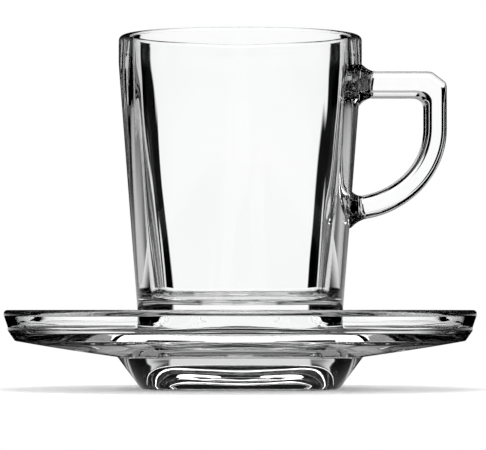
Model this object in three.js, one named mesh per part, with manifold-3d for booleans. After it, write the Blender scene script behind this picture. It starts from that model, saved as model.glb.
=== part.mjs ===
// Coffee cup with a saucer, both pressed in clear glass.
// Millimetres, +Z up. The origin is the middle of the saucer's foot, on the table, and the handle points to +X.
// Level sections are superellipses: a power of 2 is a circle, and a higher power is a squarer rounded square.

import * as THREE from 'three';
import { mergeVertices } from 'three/addons/utils/BufferGeometryUtils.js';
import Module from 'manifold-3d';

const wasm = await Module();
wasm.setup();

// Saucer
const saucerWidth = 118.0;       // across the rim, which is round
const saucerHeight = 19.7;       // table to the top of the rim
const lipRound = 0.95;           // rounding of the rim's upper edges
const rimWall = 2.1;             // thickness of the rim at its top
const rimWallDraft = 1.9;        // how far the inside of the rim leans in downwards
const dishEdgeHeight = 14.6;     // table to where the inside of the rim meets the dish
const beadBand = 0.5;            // upright band of the rim, under its rounding
const beadFootHeight = 15.4;     // table to the lower edge of the rim's bead
const beadDraft = 1.0;           // how far the bead leans in downwards
const underBead = 0.8;           // upright step under the bead
const rimFootHeight = 12.0;      // table to the rim's lower edge
const rimFootWidth = 112.4;      // across that edge
const footWidth = 48.6;          // across the flats of the square foot, on the table
const footHeight = 8.2;          // table to where the foot meets the flange
const footTopWidth = 60.4;       // across the flats of the foot at the flange
const footEdge = 0.6;            // small bevel at the foot's lower edge
const footRecess = 0.8;          // depth of the hollow under the foot
const footLand = 3.7;            // width of the flat land that stands on the table
const seatFloorHeight = 13.9;    // table to the floor of the cup's seat
const seatDepth = 0.5;           // seat's floor to the edge of the dish
const seatClearance = 1.2;       // room round the cup's base in the seat
const saucerRimPower = 2.0;      // squareness of the rim: a circle
const saucerFootPower = 6.5;     // squareness of the foot

// Cup bowl
const standGap = 0.2;            // cup's base to the seat's floor
const cupHeight = 74.1;          // cup's base to the top of its lip
const mouthWidth = 60.8;         // across the mouth, outside
const baseWidth = 50.0;          // across the flats of the base, outside, at the top of its rounded edge
const mouthBand = 7.0;           // upright band under the lip
const lipWall = 2.5;             // wall at the mouth
const floorWall = 3.1;           // wall just above the inner floor
const floorThickness = 8.0;      // solid glass under the inner floor
const floorFillet = 2.6;         // rounding between the inner floor and the wall
const baseRound = 2.2;           // rounding of the base's outer edge
const mouthPower = 2.1;          // squareness outside, at the mouth
const wallPower = 4.85;          // squareness outside, of the wall carried on down to the base
const basePower = 8.0;           // squareness outside, at the base itself
const squareBand = 5.0;          // height of the band above the base where the wall gets squarer
const innerMouthPower = 2.27;    // squareness inside, at the mouth
const innerFloorPower = 5.0;     // squareness inside, at the floor

// Cup handle
const handleReach = 51.7;        // cup's axis to the outside of the upright bar
const handleDrop = 8.8;          // top of the lip down to the top of the upper arm
const handleHeight = 37.3;       // top of the upper arm to the underside of the lower arm
const upperArm = 6.8;            // height of the upper arm
const uprightBar = 5.9;          // width of the upright bar and of the lower bend
const handleDepth = 11.0;        // front to back
const handleDraft = 1.1;         // how far each edge slopes in from the middle band to the face
const handleBand = 1.6;          // middle band of full height, front to back
const outerCornerRun = 3.8;      // slanted outer corner, along the upper arm
const outerCornerDrop = 2.9;     // slanted outer corner, along the upright bar
const innerCornerRadius = 2.5;   // rounded corner inside the loop
const bendRun = 24.7;            // level half-axis of the lower bend's outer ellipse
const bendRise = 22.9;           // upright half-axis of the same ellipse
const jointFlare = 2.0;          // how far each arm spreads where it meets the bowl
const jointGap = 0.3;            // bowl to handle

// Fineness
const saucerSides = 64;
const bowlSides = 64;
const wallSteps = 7;
const arcSteps = 4;
const flangeSteps = 4;
const bendSteps = 9;

// Merges the corners of a closed geometry, and drops the triangles that collapse on the axis.
function closed(geometry) {
  geometry.deleteAttribute('normal');
  geometry.deleteAttribute('uv');
  const merged = mergeVertices(geometry, 1e-4);
  const index = merged.getIndex().array;
  const kept = [];
  for (let i = 0; i < index.length; i += 3) {
    const [a, b, c] = [index[i], index[i + 1], index[i + 2]];
    if (a !== b && b !== c && c !== a) kept.push(a, b, c);
  }
  merged.setIndex(kept);
  return merged;
}

// Turns a profile of [half-width, height, power] points round Z, with a superellipse as every level section.
function squaredLathe(profile, sides) {
  const outline = profile.map(([half, height]) => new THREE.Vector2(half, height));
  const geometry = new THREE.LatheGeometry(outline, sides);
  geometry.rotateX(Math.PI / 2);
  const position = geometry.getAttribute('position');
  for (let i = 0; i < position.count; i += 1) {
    const power = profile[i % profile.length][2];
    const x = position.getX(i);
    const y = position.getY(i);
    const radius = Math.hypot(x, y);
    if (radius > 0) {
      const spread = (Math.abs(x / radius) ** power + Math.abs(y / radius) ** power) ** (1 / power);
      position.setXY(i, x / spread, y / spread);
    }
  }
  return closed(geometry);
}

// Points on a quarter of an ellipse about a centre, from one angle to another, with one power for all.
function quarter(centre, axes, from, to, power) {
  const points = [];
  for (let i = 0; i <= arcSteps; i += 1) {
    const angle = THREE.MathUtils.degToRad(from + (to - from) * i / arcSteps);
    points.push([centre[0] + axes[0] * Math.cos(angle), centre[1] + axes[1] * Math.sin(angle), power]);
  }
  return points;
}

// Points between two profile points in even steps, both ends left out, as the section turns from square to round.
function flange(from, to) {
  const points = [];
  for (let i = 1; i < flangeSteps; i += 1) {
    points.push(from.map((value, k) => THREE.MathUtils.lerp(value, to[k], i / flangeSteps)));
  }
  return points;
}

function toManifold(geometry) {
  const vertProperties = new Float32Array(geometry.getAttribute('position').array);
  const triVerts = new Uint32Array(geometry.getIndex().array);
  return new wasm.Manifold(new wasm.Mesh({ numProp: 3, vertProperties, triVerts }));
}

function fromManifold(solid) {
  const mesh = solid.getMesh();
  const geometry = new THREE.BufferGeometry();
  geometry.setAttribute('position', new THREE.BufferAttribute(mesh.vertProperties, 3));
  geometry.setIndex(new THREE.BufferAttribute(mesh.triVerts, 1));
  return geometry;
}

function glass(color, roughness) {
  return new THREE.MeshStandardMaterial({ color, roughness, metalness: 0, transparent: true, opacity: 0.35 });
}

// Saucer: the section runs from the axis under the foot, out along the underside, over the rim and back.
function makeSaucer() {
  const rimHalf = saucerWidth / 2;
  const footHalf = footWidth / 2;
  const footTopHalf = footTopWidth / 2;
  const rimFootHalf = rimFootWidth / 2;
  const landInner = footHalf - footEdge - footLand;
  const edge = Math.min(lipRound, rimWall / 2);
  const shoulder = saucerHeight - edge;
  const beadHalf = rimHalf - beadDraft;
  const innerRimHalf = rimHalf - rimWall;
  const dishEdgeHalf = innerRimHalf - rimWallDraft;
  const seatHalf = baseWidth / 2 + seatClearance;
  const seatEdge = seatFloorHeight + seatDepth;
  const foot = saucerFootPower;
  const rim = saucerRimPower;
  const profile = [
    [0, footRecess, foot],
    [landInner - footRecess, footRecess, foot],
    [landInner, 0, foot],
    [footHalf - footEdge, 0, foot],
    [footHalf, footEdge, foot],
    [footTopHalf, footHeight, foot],
    ...flange([footTopHalf, footHeight, foot], [rimFootHalf, rimFootHeight, rim]),
    [rimFootHalf, rimFootHeight, rim],
    [beadHalf, beadFootHeight - underBead, rim],
    [beadHalf, beadFootHeight, rim],
    [rimHalf, shoulder - beadBand, rim],
    ...quarter([rimHalf - edge, shoulder], [edge, edge], 0, 90, rim),
    ...quarter([innerRimHalf + edge, shoulder], [edge, edge], 90, 180, rim),
    [dishEdgeHalf, dishEdgeHeight, rim],
    ...flange([dishEdgeHalf, dishEdgeHeight, rim], [seatHalf + seatDepth, seatEdge, foot]),
    [seatHalf + seatDepth, seatEdge, foot],
    [seatHalf, seatFloorHeight, foot],
    [0, seatFloorHeight, foot],
  ];
  const mesh = new THREE.Mesh(squaredLathe(profile, saucerSides), glass(0xe9eff0, 0.03));
  mesh.name = 'saucer';
  return mesh;
}

// Outside of the bowl, in the cup's own frame with its base at 0: an upright band, then a straight taper.
const taperTop = cupHeight - mouthBand;

function wallShare(height) {
  return THREE.MathUtils.clamp((height - baseRound) / (taperTop - baseRound), 0, 1);
}

function outerHalf(height) {
  return THREE.MathUtils.lerp(baseWidth, mouthWidth, wallShare(height)) / 2;
}

function outerPower(height) {
  const wall = THREE.MathUtils.lerp(wallPower, mouthPower, THREE.MathUtils.clamp(height / cupHeight, 0, 1));
  const bandShare = THREE.MathUtils.clamp((height - baseRound) / (squareBand - baseRound), 0, 1);
  return THREE.MathUtils.lerp(basePower, wall, bandShare);
}

function innerShare(height) {
  return THREE.MathUtils.clamp((height - floorThickness) / (cupHeight - floorThickness), 0, 1);
}

function innerHalf(height) {
  return outerHalf(height) - THREE.MathUtils.lerp(floorWall, lipWall, innerShare(height));
}

function innerPower(height) {
  return THREE.MathUtils.lerp(innerFloorPower, innerMouthPower, innerShare(height));
}

// Heights from one level to another in even steps, both ends included.
function heights(from, to) {
  return Array.from({ length: wallSteps + 1 }, (_, i) => THREE.MathUtils.lerp(from, to, i / wallSteps));
}

// The base and the outer wall up to a height, spread out by a gap.
function outerProfile(top, gap) {
  const corner = [baseWidth / 2 - baseRound, baseRound];
  const edge = quarter(corner, [baseRound + gap, baseRound + gap], -90, 0, basePower);
  const wall = heights(squareBand, taperTop);
  return [
    [0, -gap, basePower],
    ...edge,
    ...wall.map((height) => [outerHalf(height) + gap, height, outerPower(height)]),
    [outerHalf(top) + gap, top, outerPower(top)],
  ];
}

function makeBowl() {
  const lipRadius = lipWall / 2;
  const lipFoot = cupHeight - lipRadius;
  const lip = quarter([outerHalf(lipFoot) - lipRadius, lipFoot], [lipRadius, lipRadius], 0, 180, mouthPower);
  const filletTop = floorThickness + floorFillet;
  const fillet = quarter([innerHalf(filletTop) - floorFillet, filletTop], [floorFillet, floorFillet], 0, -90,
    innerFloorPower);
  const innerWall = heights(lipFoot, filletTop).slice(1, -1);
  const profile = [
    ...outerProfile(lipFoot, 0),
    ...lip.slice(1),
    ...innerWall.map((height) => [innerHalf(height), height, innerPower(height)]),
    ...fillet,
    [0, floorThickness, innerFloorPower],
  ];
  const mesh = new THREE.Mesh(squaredLathe(profile, bowlSides), glass(0xeef3f4, 0.02));
  mesh.name = 'cup_bowl';
  return mesh;
}

// Handle: its side outline, cut back where it meets the bowl.
function makeHandle() {
  const top = cupHeight - handleDrop;
  const bottom = top - handleHeight;
  const bendLevel = bottom + bendRise;
  const bendCentre = handleReach - bendRun;
  const innerTop = top - upperArm;
  const innerSide = handleReach - uprightBar;
  const innerRun = bendRun - uprightBar;
  const innerRise = bendRise - uprightBar;
  const rootX = baseWidth / 4;
  const upperWall = outerHalf(top) + jointGap;
  const lowerWall = outerHalf(bottom) + jointGap;
  const outerEnd = Math.acos((lowerWall - bendCentre) / bendRun);
  const innerEnd = Math.acos((lowerWall + jointFlare - bendCentre) / innerRun);
  const innerEndLevel = bendLevel - innerRise * Math.sin(innerEnd);

  const outline = new THREE.Shape();
  outline.moveTo(rootX, top + jointFlare);
  outline.lineTo(upperWall, top + jointFlare);
  outline.quadraticCurveTo(upperWall, top, upperWall + jointFlare, top);
  outline.lineTo(handleReach - outerCornerRun, top);
  outline.lineTo(handleReach, top - outerCornerDrop);
  outline.absellipse(bendCentre, bendLevel, bendRun, bendRise, 0, -outerEnd, true);
  outline.lineTo(rootX, bottom);
  outline.lineTo(rootX, innerEndLevel + jointFlare);
  outline.lineTo(lowerWall, innerEndLevel + jointFlare);
  outline.quadraticCurveTo(lowerWall, innerEndLevel, lowerWall + jointFlare, innerEndLevel);
  outline.absellipse(bendCentre, bendLevel, innerRun, innerRise, -innerEnd, 0, false);
  outline.lineTo(innerSide, innerTop - innerCornerRadius);
  outline.quadraticCurveTo(innerSide, innerTop, innerSide - innerCornerRadius, innerTop);
  outline.lineTo(upperWall + jointFlare, innerTop);
  outline.quadraticCurveTo(upperWall, innerTop, upperWall, innerTop - jointFlare);
  outline.lineTo(rootX, innerTop - jointFlare);

  const faceDepth = (handleDepth - handleBand) / 2;
  const geometry = new THREE.ExtrudeGeometry(outline, {
    depth: handleBand,
    bevelThickness: faceDepth,
    bevelSize: handleDraft,
    bevelOffset: -handleDraft,
    bevelSegments: 1,
    curveSegments: bendSteps,
  });
  geometry.translate(0, 0, -handleBand / 2);
  geometry.rotateX(Math.PI / 2);
  const cutter = squaredLathe([...outerProfile(cupHeight, jointGap), [0, cupHeight, mouthPower]], bowlSides);
  const solid = toManifold(closed(geometry)).subtract(toManifold(cutter));
  const mesh = new THREE.Mesh(fromManifold(solid), glass(0xeef3f4, 0.02));
  mesh.name = 'cup_handle';
  return mesh;
}

const cup = new THREE.Group();
cup.add(makeBowl(), makeHandle());
cup.position.z = seatFloorHeight + standGap;

const set = new THREE.Group();
set.add(makeSaucer(), cup);

export default set;
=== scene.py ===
import math
import bpy
import numpy as np
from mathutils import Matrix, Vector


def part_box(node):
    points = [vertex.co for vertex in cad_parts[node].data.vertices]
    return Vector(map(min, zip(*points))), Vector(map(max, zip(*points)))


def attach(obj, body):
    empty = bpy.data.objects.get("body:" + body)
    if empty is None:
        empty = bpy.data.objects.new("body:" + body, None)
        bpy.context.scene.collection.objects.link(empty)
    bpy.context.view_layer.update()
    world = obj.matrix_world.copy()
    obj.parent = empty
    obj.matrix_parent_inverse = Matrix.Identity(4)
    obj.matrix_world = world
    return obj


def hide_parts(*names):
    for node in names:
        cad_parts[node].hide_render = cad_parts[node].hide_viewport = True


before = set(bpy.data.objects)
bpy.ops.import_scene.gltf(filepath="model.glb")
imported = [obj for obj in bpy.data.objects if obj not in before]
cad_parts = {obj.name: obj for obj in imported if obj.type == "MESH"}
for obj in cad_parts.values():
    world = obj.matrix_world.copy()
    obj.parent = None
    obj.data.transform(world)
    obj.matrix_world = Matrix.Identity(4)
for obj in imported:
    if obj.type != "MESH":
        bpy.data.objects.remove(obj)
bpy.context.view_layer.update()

# Clear pressed-glass coffee cup on its saucer, in metres, standing on the table at z = 0.

mm = 0.001
saucerLow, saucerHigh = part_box("saucer")
bowlLow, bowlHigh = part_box("cup_bowl")
handleLow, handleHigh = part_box("cup_handle")


class Wire:  # a socket that plain maths can be done on: each operator adds a Math node
    def __init__(self, net, socket):
        self.net = net
        self.socket = socket

    def maths(self, operation, first, second):
        made = self.net.node("ShaderNodeMath", {"operation": operation}, {0: first, 1: second})
        return Wire(self.net, made.outputs[0])

    def __add__(self, other):
        return self.maths("ADD", self, other)

    def __radd__(self, other):
        return self.maths("ADD", other, self)

    def __sub__(self, other):
        return self.maths("SUBTRACT", self, other)

    def __rsub__(self, other):
        return self.maths("SUBTRACT", other, self)

    def __mul__(self, other):
        return self.maths("MULTIPLY", self, other)

    def __rmul__(self, other):
        return self.maths("MULTIPLY", other, self)

    def __truediv__(self, other):
        return self.maths("DIVIDE", self, other)

    def __abs__(self):
        return self.maths("ABSOLUTE", self, 0)

    def atLeast(self, other):
        return self.maths("MAXIMUM", self, other)

    def ramp(self, low, high):  # 0 below low, 1 above high, smooth between
        made = self.net.node("ShaderNodeMapRange", {"interpolation_type": "SMOOTHSTEP"},
                             {"Value": self, "From Min": low, "From Max": high})
        return Wire(self.net, made.outputs[0])


class Net:  # one node tree
    def __init__(self, owner):
        owner.use_nodes = True
        self.tree = owner.node_tree
        self.tree.nodes.clear()

    def node(self, kind, settings={}, inputs={}):  # settings first, then socket values or links
        made = self.tree.nodes.new(kind)
        for name, value in settings.items():
            setattr(made, name, value)
        for name, value in inputs.items():
            if isinstance(value, Wire):
                self.tree.links.new(value.socket, made.inputs[name])
            else:
                made.inputs[name].default_value = value
        return made

    def wire(self, kind, output, settings={}, inputs={}):
        return Wire(self, self.node(kind, settings, inputs).outputs[output])


def roundedProfile(corners, step, arcCount=10):
    # A polyline of (half-width, height, corner radius, power) rows whose corners are replaced by arcs.
    # Each arc touches both its neighbours; straight runs are cut into pieces no longer than step.
    corners = np.asarray(corners, float)
    rows = [corners[0, [0, 1, 3]]]
    for before, corner, after in zip(corners[:-2], corners[1:-1], corners[2:]):
        if corner[2] == 0:
            rows.append(corner[[0, 1, 3]])
            continue
        back = before[:2] - corner[:2]
        ahead = after[:2] - corner[:2]
        backLength = np.linalg.norm(back)
        aheadLength = np.linalg.norm(ahead)
        back = back / backLength
        ahead = ahead / aheadLength
        turn = math.acos(np.clip(back @ ahead, -1, 1))
        reach = corner[2] / math.tan(turn / 2)
        share = np.linspace(0, 1, arcCount)[:, None]
        start = corner[:2] + back * reach
        finish = corner[:2] + ahead * reach
        middle = (back + ahead) / np.linalg.norm(back + ahead)
        centre = corner[:2] + middle * corner[2] / math.sin(turn / 2)
        sweep = math.pi - turn
        first = start - centre
        last = finish - centre
        arc = centre + (first * np.sin((1 - share) * sweep) + last * np.sin(share * sweep)) / math.sin(sweep)
        powerBack = corner[3] + (before[3] - corner[3]) * reach / backLength
        powerAhead = corner[3] + (after[3] - corner[3]) * reach / aheadLength
        powers = powerBack + (powerAhead - powerBack) * share
        rows.extend(np.hstack([arc, powers]))
    rows.append(corners[-1, [0, 1, 3]])
    rows = np.array(rows)
    runs = []
    for first, last in zip(rows[:-1], rows[1:]):
        count = max(1, int(np.ceil(np.linalg.norm(last[:2] - first[:2]) / step)))
        runs.append(first + (last - first) * np.linspace(0, 1, count, endpoint=False)[:, None])
    return np.vstack(runs + [rows[-1:]])


def squaredTurn(name, profile, sides, lift):
    # Turns a profile about Z. At polar angle t the radius is half / (|cos t|^p + |sin t|^p)^(1/p),
    # a superellipse of power p, so a section is a circle at p = 2 and a rounded square above that.
    half, height, power = [profile[1:-1, k][:, None] for k in range(3)]
    angle = (np.arange(sides) * 2 * math.pi / sides)[None, :]
    radius = half / (np.abs(np.cos(angle)) ** power + np.abs(np.sin(angle)) ** power) ** (1 / power)
    grid = np.stack([radius * np.cos(angle), radius * np.sin(angle), height + 0 * angle], axis=-1)
    ends = np.array([[0, 0, profile[0, 1]], [0, 0, profile[-1, 1]]])
    points = np.vstack([grid.reshape(-1, 3), ends]) * mm + np.array([0, 0, lift])
    rings = len(half)
    index = np.arange(rings * sides).reshape(rings, sides)
    beside = np.roll(index, -1, axis=1)
    quads = np.stack([index[:-1], beside[:-1], beside[1:], index[1:]], axis=-1).reshape(-1, 4)
    firstPole, lastPole = rings * sides, rings * sides + 1
    firstFan = np.stack([beside[0], index[0], np.full(sides, firstPole)], axis=-1)
    lastFan = np.stack([index[-1], beside[-1], np.full(sides, lastPole)], axis=-1)
    return meshPiece(name, points, quads, np.vstack([firstFan, lastFan]))


def meshPiece(name, points, quads, triangles):
    mesh = bpy.data.meshes.new(name)
    mesh.from_pydata(points.tolist(), [], quads.tolist() + triangles.tolist())
    mesh.validate()
    piece = bpy.data.objects.new(name, mesh)
    bpy.context.scene.collection.objects.link(piece)
    return piece


def smooth(piece, crease):  # smooth shading, sharp where faces meet at more than the crease
    piece.data.shade_smooth()
    piece.data.set_sharp_from_angle(angle=math.radians(crease))


# Saucer, in millimetres: half-widths from the axis, heights above the table
saucerShape = {
    "lipRound": 0.95, "lipShare": 0.95, "rimWall": 2.1, "wallDraft": 1.9, "wallFoot": 14.6, "wallFillet": 2.2,
    "band": 0.5, "bandRound": 1.2, "beadFoot": 15.4, "beadDraft": 1.0, "beadFall": 0.8,
    "beadRound": 0.3, "beadFootRound": 0.5, "rimFoot": 12.0, "rimFootHalf": 56.2, "rimFootRound": 0.6,
    "footHalf": 24.3, "footTopHalf": 30.2, "footHeight": 8.2, "footRound": 1.2, "footTopRound": 0.8,
    "recess": 0.8, "recessRound": 0.5, "land": 4.3, "landRound": 0.3,
    "seatFloor": 13.9, "seatDepth": 0.5, "seatHalf": 26.2, "seatRound": 0.6,
    "rimPower": 2.0, "footPower": 6.5, "sides": 320, "step": 0.9,
}


def makeSaucer(s):
    # Each row is half-width, height, corner radius, power: under the foot, up the outside, over the lip,
    # down the inside and into the seat. The power changes from the square foot to the round rim.
    half = saucerHigh[0] / mm
    height = saucerHigh[2] / mm
    landInner = s["footHalf"] - s["land"]
    lipInner = half - s["rimWall"]
    seatEdge = s["seatFloor"] + s["seatDepth"]
    lipRound = s["lipRound"] * s["lipShare"]
    rim, foot = s["rimPower"], s["footPower"]
    corners = [
        (0, s["recess"], 0, foot),
        (landInner - s["recess"], s["recess"], s["recessRound"], foot),
        (landInner, 0, s["landRound"], foot),
        (s["footHalf"], 0, s["footRound"], foot),
        (s["footTopHalf"], s["footHeight"], s["footTopRound"], foot),
        (s["rimFootHalf"], s["rimFoot"], s["rimFootRound"], rim),
        (half - s["beadDraft"], s["beadFoot"] - s["beadFall"], s["beadFootRound"], rim),
        (half - s["beadDraft"], s["beadFoot"], s["beadRound"], rim),
        (half, height - s["lipRound"] - s["band"], s["bandRound"], rim),
        (half, height, lipRound, rim),
        (lipInner, height, lipRound, rim),
        (lipInner - s["wallDraft"], s["wallFoot"], s["wallFillet"], rim),
        (s["seatHalf"] + s["seatDepth"], seatEdge, s["seatRound"], foot),
        (s["seatHalf"], s["seatFloor"], s["seatRound"], foot),
        (0, s["seatFloor"], 0, foot),
    ]
    return squaredTurn("clear_saucer", roundedProfile(corners, s["step"]), s["sides"], 0)


# Cup bowl, in millimetres: heights above its own base
bowlShape = {
    "baseHalf": 25.0, "taperTop": 67.1, "lipWall": 2.5, "lipShare": 0.48, "floorWall": 3.1, "floor": 8.0,
    "floorFillet": 2.6, "baseRound": 2.2, "bandBlend": 40.0,
    "mouthPower": 2.1, "wallPower": 4.85, "basePower": 8.0, "squareTop": 5.0,
    "innerMouthPower": 2.27, "innerFloorPower": 5.0,
    "sides": 320, "step": 0.9,
}


def makeBowl(b):
    # The same kind of rows: across the base, up the outside, over the lip and down to the inner floor.
    # Above squareTop the power falls in a straight line with height, down to that of the round mouth.
    # Below squareTop the outside runs on to the squarer base.
    half = bowlHigh[0] / mm
    height = (bowlHigh[2] - bowlLow[2]) / mm
    bandPower = b["wallPower"] + (b["mouthPower"] - b["wallPower"]) * b["taperTop"] / height
    squarePower = b["wallPower"] + (b["mouthPower"] - b["wallPower"]) * b["squareTop"] / height
    squareHalf = b["baseHalf"] + (half - b["baseHalf"]) * b["squareTop"] / b["taperTop"]
    innerShare = (b["taperTop"] - b["floor"]) / (height - b["floor"])
    innerBand = b["innerFloorPower"] + (b["innerMouthPower"] - b["innerFloorPower"]) * innerShare
    lip = b["lipWall"]
    lipRound = lip * b["lipShare"]
    innerFloorHalf = b["baseHalf"] + (half - b["baseHalf"]) * b["floor"] / b["taperTop"] - b["floorWall"]
    corners = [
        (0, 0, 0, b["basePower"]),
        (b["baseHalf"], 0, b["baseRound"], b["basePower"]),
        (squareHalf, b["squareTop"], 0, squarePower),
        (half, b["taperTop"], b["bandBlend"], bandPower),
        (half, height, lipRound, b["mouthPower"]),
        (half - lip, height, lipRound, b["innerMouthPower"]),
        (half - lip, b["taperTop"], b["bandBlend"], innerBand),
        (innerFloorHalf, b["floor"], b["floorFillet"], b["innerFloorPower"]),
        (0, b["floor"], 0, b["innerFloorPower"]),
    ]
    return squaredTurn("clear_cup", roundedProfile(corners, b["step"]), b["sides"], bowlLow[2])


# Cup handle, in millimetres: heights above the cup's base and distances from its axis
handleShape = {
    "top": 65.3, "bottom": 28.0, "upperArm": 6.8, "bar": 5.9, "depth": 11.0,
    "cornerRun": 3.8, "cornerDrop": 2.9, "innerCorner": 2.5, "bendRun": 24.7, "bendRise": 22.9,
    "draft": 0.22, "edgePower": 4.5, "flare": 2.0, "flareReach": 3.5, "rootDepth": 1.3,
    "around": 96, "armSteps": 30, "cornerSteps": 14, "barSteps": 16, "bendSteps": 60, "rootSteps": 8,
    "easing": (1, 2, 3, 2, 1),
}


def makeHandle(h, b):
    # A rounded rectangle carried along the loop: it spans from the outer side outline to the inner one,
    # with h["depth"] across, and swells by the square of the nearness to the bowl where it meets the wall.
    reach = handleHigh[0] / mm
    bendLevel = h["bottom"] + h["bendRise"]
    bendCentre = reach - h["bendRun"]
    innerTop = h["top"] - h["upperArm"]
    innerSide = reach - h["bar"]
    mouthHalf = bowlHigh[0] / mm

    def wallAt(z):  # half-width of the bowl's outside
        return b["baseHalf"] + (mouthHalf - b["baseHalf"]) * np.clip(z / b["taperTop"], 0, 1)

    upperRoot = wallAt(h["top"] - h["upperArm"] / 2) - h["rootDepth"]
    lowerRoot = wallAt(h["bottom"] + h["bar"] / 2) - h["rootDepth"]

    def run(first, last, count):  # straight stretch of the side outline
        return np.linspace(first, last, count, endpoint=False)

    def bend(span, rise, count):  # quarter of an ellipse, from its level end to its lowest point
        angle = np.linspace(0, -math.pi / 2, count)[:, None]
        turn = np.hstack([bendCentre + span * np.cos(angle), bendLevel + rise * np.sin(angle)])
        level = np.linspace(turn[-1], (lowerRoot, turn[-1, 1]), h["rootSteps"])[1:]
        return np.vstack([turn, level]) if lowerRoot < bendCentre else turn

    quarterTurn = np.linspace(math.pi / 2, 0, h["cornerSteps"], endpoint=False)[:, None]
    cornerAt = np.array([innerSide - h["innerCorner"], innerTop - h["innerCorner"]])
    outer = np.vstack([
        run((upperRoot, h["top"]), (reach - h["cornerRun"], h["top"]), h["armSteps"]),
        run((reach - h["cornerRun"], h["top"]), (reach, h["top"] - h["cornerDrop"]), h["cornerSteps"]),
        run((reach, h["top"] - h["cornerDrop"]), (reach, bendLevel), h["barSteps"]),
        bend(h["bendRun"], h["bendRise"], h["bendSteps"])])
    inner = np.vstack([
        run((upperRoot, innerTop), (innerSide - h["innerCorner"], innerTop), h["armSteps"]),
        cornerAt + h["innerCorner"] * np.hstack([np.cos(quarterTurn), np.sin(quarterTurn)]),
        run((innerSide, innerTop - h["innerCorner"]), (innerSide, bendLevel), h["barSteps"]),
        bend(h["bendRun"] - h["bar"], h["bendRise"] - h["bar"], h["bendSteps"])])
    kernel = np.array(h["easing"]) / sum(h["easing"])  # eases the slanted corner
    for line in (outer, inner):
        for k in range(2):
            line[2:-2, k] = np.convolve(line[:, k], kernel, "valid")
    middle = (outer + inner) / 2
    across = (outer - inner) / 2
    away = np.clip((middle[:, 0] - wallAt(middle[:, 1])) / h["flareReach"], 0, 1)[:, None]
    spread = (1 - away) ** 2 * h["flare"]
    across = across * (1 + spread / np.linalg.norm(across, axis=1, keepdims=True))
    depth = h["depth"] / 2 + spread
    turn = np.arange(h["around"]) * 2 * math.pi / h["around"]
    radial = np.sign(np.cos(turn)) * np.abs(np.cos(turn)) ** (2 / h["edgePower"])
    sideways = np.sign(np.sin(turn)) * np.abs(np.sin(turn)) ** (2 / h["edgePower"])
    radial = (radial * (1 - h["draft"] * np.abs(sideways)))[None, :]
    grid = np.stack([middle[:, :1] + across[:, :1] * radial, depth * sideways[None, :],
                     middle[:, 1:] + across[:, 1:] * radial], axis=-1)
    steps, around = grid.shape[:2]
    ends = np.array([[middle[0, 0], 0, middle[0, 1]], [middle[-1, 0], 0, middle[-1, 1]]])
    points = np.vstack([grid.reshape(-1, 3), ends]) * mm + np.array([0, 0, bowlLow[2]])
    index = np.arange(steps * around).reshape(steps, around)
    beside = np.roll(index, -1, axis=1)
    quads = np.stack([index[:-1], index[1:], beside[1:], beside[:-1]], axis=-1).reshape(-1, 4)
    firstFan = np.stack([index[0], beside[0], np.full(around, steps * around)], axis=-1)
    lastFan = np.stack([beside[-1], index[-1], np.full(around, steps * around + 1)], axis=-1)
    return meshPiece("handle_loop", points, quads, np.vstack([firstFan, lastFan]))


def fuse(piece, other):  # joins two closed meshes into one, as the handle is fused to the bowl
    joiner = piece.modifiers.new("fuse", "BOOLEAN")
    joiner.operation = "UNION"
    joiner.solver = "MANIFOLD"
    joiner.object = other
    bpy.context.view_layer.update()
    joined = bpy.data.meshes.new_from_object(piece.evaluated_get(bpy.context.evaluated_depsgraph_get()))
    piece.modifiers.clear()
    piece.data = joined
    bpy.data.objects.remove(other)


# Clear glass: a faint drawn ripple in the surface, slight clouds in tint and polish
clearGlass = {
    "tint": (0.998, 0.999, 0.999, 1), "deepTint": (0.99, 0.996, 0.995, 1), "glare": (0.35, 0.35, 0.35, 1),
    "index": 1.52, "roughness": 0.015, "cloudScale": 45.0, "cloudDetail": 2.0,
    "tintLow": 0.35, "tintHigh": 0.7, "wornLow": 0.5, "wornHigh": 0.75,
    "rippleScale": 120.0, "rippleDetail": 1.0, "rippleDepth": 0.001, "rippleFade": 0.015,
}
cupGlassLook = dict(clearGlass, ripple=0.3, rippleDraw=(1, 1, 0.12), rippleShift=(0.1, 0, 0), rippleTop=0.084)
saucerGlassLook = dict(clearGlass, ripple=0.012, rippleDraw=(1, 1, 1), rippleShift=(0, 0, 0), rippleTop=1.0)


def glassMaterial(name, look):
    material = bpy.data.materials.new(name)
    net = Net(material)
    place = net.wire("ShaderNodeTexCoord", "Object")
    drawn = net.wire("ShaderNodeVectorMath", "Vector", {"operation": "MULTIPLY_ADD"},
                     {0: place, 1: look["rippleDraw"], 2: look["rippleShift"]})
    ripple = net.wire("ShaderNodeTexNoise", "Fac", {},
                      {"Vector": drawn, "Scale": look["rippleScale"], "Detail": look["rippleDetail"]})
    high = net.wire("ShaderNodeSeparateXYZ", 2, {}, {0: place})
    ripple = ripple * (1 - high.ramp(look["rippleTop"] - look["rippleFade"], look["rippleTop"]))
    bump = net.wire("ShaderNodeBump", "Normal", {},
                    {"Height": ripple, "Strength": look["ripple"], "Distance": look["rippleDepth"]})
    cloud = net.wire("ShaderNodeTexNoise", "Fac", {},
                     {"Vector": place, "Scale": look["cloudScale"], "Detail": look["cloudDetail"]})
    tint = net.wire("ShaderNodeMix", 2, {"data_type": "RGBA"},
                    {0: cloud.ramp(look["tintLow"], look["tintHigh"]), 6: look["tint"], 7: look["deepTint"]})
    worn = cloud.ramp(look["wornLow"], look["wornHigh"]) * look["roughness"]
    shader = net.wire("ShaderNodeBsdfPrincipled", "BSDF", {}, {
        "Base Color": tint, "Roughness": worn, "IOR": look["index"],
        "Transmission Weight": 1.0, "Specular Tint": look["glare"], "Normal": bump})
    net.node("ShaderNodeOutputMaterial", {}, {"Surface": shader})
    return material


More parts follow.
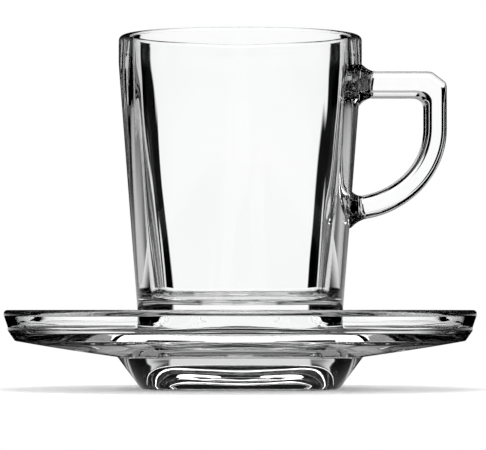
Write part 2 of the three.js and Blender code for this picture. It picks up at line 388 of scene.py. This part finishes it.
creaseDegrees = 30
saucer = makeSaucer(saucerShape)
print("saucer:", len(saucer.data.polygons), "faces")
cup = makeBowl(bowlShape)
print("bowl:", len(cup.data.polygons), "faces")
fuse(cup, makeHandle(handleShape, bowlShape))
print("cup with its handle:", len(cup.data.polygons), "faces")
for piece, body, slot, look, nodes in ((saucer, "saucer", "saucer_glass", saucerGlassLook, ["saucer"]),
                                       (cup, "cup", "cup_glass", cupGlassLook, ["cup_bowl", "cup_handle"])):
    smooth(piece, creaseDegrees)
    piece.data.materials.clear()
    piece.data.materials.append(glassMaterial(slot, look))
    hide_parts(*nodes)
    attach(piece, body)

# Room: white for the camera and for soft light. Through the glass it is dark, with white panels at the ends
# and sides. A ray is folded when the glass has turned it back once inside, and twice when more than once.
roomLook = {
    "panelHalfAngle": 8.2, "panelEdge": 0.6, "panelTop": 0.25, "panelFade": 0.1,
    "endFold": 0.7, "endFoldFrom": 0.9994, "endFoldTo": 0.9998, "sideFold": 0.95, "fill": 1.0,
    "lowSide": 0.6, "lowFrom": -0.01, "lowTo": 0.025, "lowShare": 0.25,
    "lowAheadFrom": 0.6, "lowAheadTo": 0.85, "twiceLoss": 0.85,
    "groundFrom": -0.07, "groundTo": -0.035, "skyFrom": 0.28, "skyTo": 0.34, "skyShare": 0.5,
    "slantFrom": 0.56, "slantTo": 0.59,
}


def countedFrom(net, ray, output, count):  # 1 where a ray's depth has reached a count
    return Wire(net, ray.outputs[output]).ramp(count - 0.8, count - 0.2)


def makeWorld(r):
    world = bpy.data.worlds.new("room")
    bpy.context.scene.world = world
    net = Net(world)
    ray = net.node("ShaderNodeLightPath")
    isCamera = Wire(net, ray.outputs["Is Camera Ray"])
    isThrough = Wire(net, ray.outputs["Is Transmission Ray"])
    isDiffuse = countedFrom(net, ray, "Diffuse Depth", 1)
    folded = countedFrom(net, ray, "Glossy Depth", 1)
    twice = countedFrom(net, ray, "Glossy Depth", 2)
    deep = countedFrom(net, ray, "Transmission Depth", 3)  # through more than one wall
    way = net.node("ShaderNodeSeparateXYZ", {}, {0: net.wire("ShaderNodeTexCoord", "Generated")})
    up = Wire(net, way.outputs[2])
    x, y, z = [abs(Wire(net, way.outputs[k])) for k in range(3)]
    level = x.maths("POWER", x * x + y * y, 0.5).atLeast(0.001)
    inner = math.cos(math.radians(r["panelHalfAngle"] - r["panelEdge"]))
    outer = math.cos(math.radians(r["panelHalfAngle"] + r["panelEdge"]))
    ahead = y / level
    endLight = r["endFold"] * ahead.ramp(r["endFoldFrom"], r["endFoldTo"])
    ends = ahead.ramp(outer, inner) * (1 - folded * (1 - endLight))
    sides = (x / level).ramp(outer, inner) * (1 - folded * r["sideFold"])
    panel = (ends + sides) * (1 - z.ramp(r["panelTop"], r["panelTop"] + r["panelFade"]))
    ground = (1 - folded) * (1 - up.ramp(r["groundFrom"], r["groundTo"]))
    sky = (1 - folded) * deep.atLeast(r["skyShare"]) * up.ramp(r["skyFrom"], r["skyTo"])
    slant = (2 * x * y / (level * level)).ramp(r["slantFrom"], r["slantTo"])  # sine of twice the bearing
    slant = (1 - folded) * deep * slant * (1 - z.ramp(r["skyFrom"], r["skyTo"]))
    panel = panel.atLeast(ground).atLeast(sky).atLeast(slant)
    below = 1 - up.ramp(r["lowFrom"], r["lowTo"])
    lowLight = r["lowShare"] + (1 - r["lowShare"]) * ahead.ramp(r["lowAheadFrom"], r["lowAheadTo"])
    low = below * folded * (1 - twice * r["twiceLoss"]) * r["lowSide"] * lowLight
    light = isCamera.atLeast(isDiffuse * r["fill"]).atLeast((panel * isThrough).atLeast(low))
    back = net.wire("ShaderNodeBackground", 0, {}, {"Color": light, "Strength": 1.0})
    net.node("ShaderNodeOutputWorld", {}, {"Surface": back})


# Floor: pale, white to the camera away from the cup, clear from below. Distances are from the cup's axis.
# Through the glass and in its reflections it shows painted light and shade: a lightened near floor, painted
# glows under and round the cup, and a floor painted dark for folded rays.
floorLook = {
    "radius": 0.5, "hub": 0.001, "sides": 64, "pale": (0.93, 0.93, 0.93, 1),
    # clearGlow: glow of the far floor for folded rays; twiceLoss is painted shade on it after two folds
    "farFrom": 0.06, "farTo": 0.3, "clearFrom": 0.25, "clearTo": 0.5, "clearGlow": 0.8, "twiceLoss": 0.85,
    # under: painted glow on the floor under the cup, seen by rays folded in the glass
    "underFrom": 0.025, "underTo": 0.035, "underGlow": 0.75,
    # near: painted reflection glow on the floor, a little wider than under, seen only by reflected rays
    "nearFrom": 0.03, "nearTo": 0.045, "nearGlow": 0.45,
    # lift and liftShare: painted light mixed over the near floor's shadow for straight rays through the glass
    "lift": 0.9, "liftShare": 0.6,
}


def makeFloor(f):
    # A flat ring of quads from a small hub out to the floor's radius, with the hub closed by one face
    angle = np.arange(f["sides"]) * 2 * math.pi / f["sides"]
    rings = np.array([f["hub"], f["radius"]])[:, None]
    grid = np.stack([rings * np.cos(angle), rings * np.sin(angle), 0 * rings * angle], axis=-1)
    index = np.arange(2 * f["sides"]).reshape(2, f["sides"])
    beside = np.roll(index, -1, axis=1)
    quads = np.stack([index[0], index[1], beside[1], beside[0]], axis=-1)
    floor = meshPiece("floor", grid.reshape(-1, 3), quads, index[:1])
    material = bpy.data.materials.new("floor")
    net = Net(material)
    ray = net.node("ShaderNodeLightPath")
    isCamera = Wire(net, ray.outputs["Is Camera Ray"])
    isThrough = Wire(net, ray.outputs["Is Transmission Ray"])
    isReflected = Wire(net, ray.outputs["Is Reflection Ray"])
    folded = countedFrom(net, ray, "Glossy Depth", 1)
    twice = countedFrom(net, ray, "Glossy Depth", 2)
    distance = net.wire("ShaderNodeVectorMath", "Value", {"operation": "LENGTH"},
                        {0: net.wire("ShaderNodeTexCoord", "Object")})
    far = distance.ramp(f["farFrom"], f["farTo"])
    clear = distance.ramp(f["clearFrom"], f["clearTo"])
    # painted light: the floor under the cup glows for folded rays, over its shadow
    under = 1 - distance.ramp(f["underFrom"], f["underTo"])
    # painted reflection: the floor close round the axis glows for reflected rays
    near = 1 - distance.ramp(f["nearFrom"], f["nearTo"])
    # painted shade: the far floor's glow for folded rays is set darker after two folds
    clearLight = clear * f["clearGlow"] * (1 - twice * f["twiceLoss"])
    glow = isThrough * clearLight.atLeast(under * f["underGlow"]) + isReflected * near * f["nearGlow"]
    pale = net.wire("ShaderNodeBsdfDiffuse", 0, {}, {"Color": f["pale"]})
    white = net.wire("ShaderNodeEmission", 0, {}, {"Color": (1, 1, 1, 1), "Strength": 1.0})
    # painted light: white glow for the near floor seen through the glass
    lift = net.wire("ShaderNodeEmission", 0, {}, {"Color": (1, 1, 1, 1), "Strength": f["lift"]})
    # painted light and shade: the only light that folded and reflected rays see on the floor
    inGlass = net.wire("ShaderNodeEmission", 0, {}, {"Color": glow, "Strength": 1.0})
    fromBelow = net.wire("ShaderNodeBsdfTransparent", 0)
    backside = net.wire("ShaderNodeNewGeometry", "Backfacing")

    def blend(share, first, second):
        return net.wire("ShaderNodeMixShader", 0, {}, {0: share, 1: first, 2: second})

    shown = blend(isCamera * far, pale, white)
    # painted light: rays through the glass see the near floor lightened towards white, over its shadow
    shown = blend(isThrough * (1 - clear) * f["liftShare"], shown, lift)
    # painted shade: folded and reflected rays see only the glows, so the rest of the floor is painted dark
    # for them
    shown = blend((isThrough * folded).atLeast(isReflected), shown, inGlass)
    shown = blend(backside, shown, fromBelow)
    net.node("ShaderNodeOutputMaterial", {}, {"Surface": shown})
    floor.data.materials.append(material)


# One soft lamp above and behind the cup
lampLook = {"place": (0.0, 0.3, 1.2), "size": 0.9, "power": 6.0}


def addLamp(name, look):
    lamp = bpy.data.lights.new(name, "AREA")
    lamp.size = look["size"]
    lamp.energy = look["power"]
    holder = bpy.data.objects.new(name, lamp)
    holder.location = look["place"]
    toward = -np.array(look["place"])
    holder.rotation_euler = (math.acos(-toward[2] / np.linalg.norm(toward)), 0,
                             math.atan2(toward[1], toward[0]) - math.pi / 2)
    bpy.context.scene.collection.objects.link(holder)


makeWorld(roomLook)
makeFloor(floorLook)
addLamp("top_lamp", lampLook)
print("room ready")

# Camera: long lens, level with the saucer's rim and tipped up a little; pixelSize and height in millimetres
cameraLook = {
    "focalPixels": 3500.0, "pixelSize": 0.25, "horizonRow": 312.0, "axisColumn": 240.25, "height": 19.2,
    "sensor": 36.0, "clipNear": 0.05, "clipFar": 50.0,
}
imageWidth, imageHeight = 486, 450
glassBounces = 32


def makeCamera(c):
    camera = bpy.data.cameras.new("camera")
    camera.sensor_width = c["sensor"]
    camera.lens = c["focalPixels"] * camera.sensor_width / imageWidth
    camera.clip_start = c["clipNear"]
    camera.clip_end = c["clipFar"]
    holder = bpy.data.objects.new("camera", camera)
    holder.location = (0, -c["focalPixels"] * c["pixelSize"] * mm, c["height"] * mm)
    tip = math.atan((c["horizonRow"] - imageHeight / 2) / c["focalPixels"])
    pan = math.atan((imageWidth / 2 - c["axisColumn"]) / c["focalPixels"])
    holder.rotation_euler = (math.pi / 2 + tip, 0, -pan)
    bpy.context.scene.collection.objects.link(holder)
    bpy.context.scene.camera = holder


makeCamera(cameraLook)
scene = bpy.context.scene
scene.view_settings.view_transform = "Standard"
scene.cycles.max_bounces = glassBounces
scene.cycles.glossy_bounces = glassBounces
scene.cycles.transmission_bounces = glassBounces
print("camera ready")
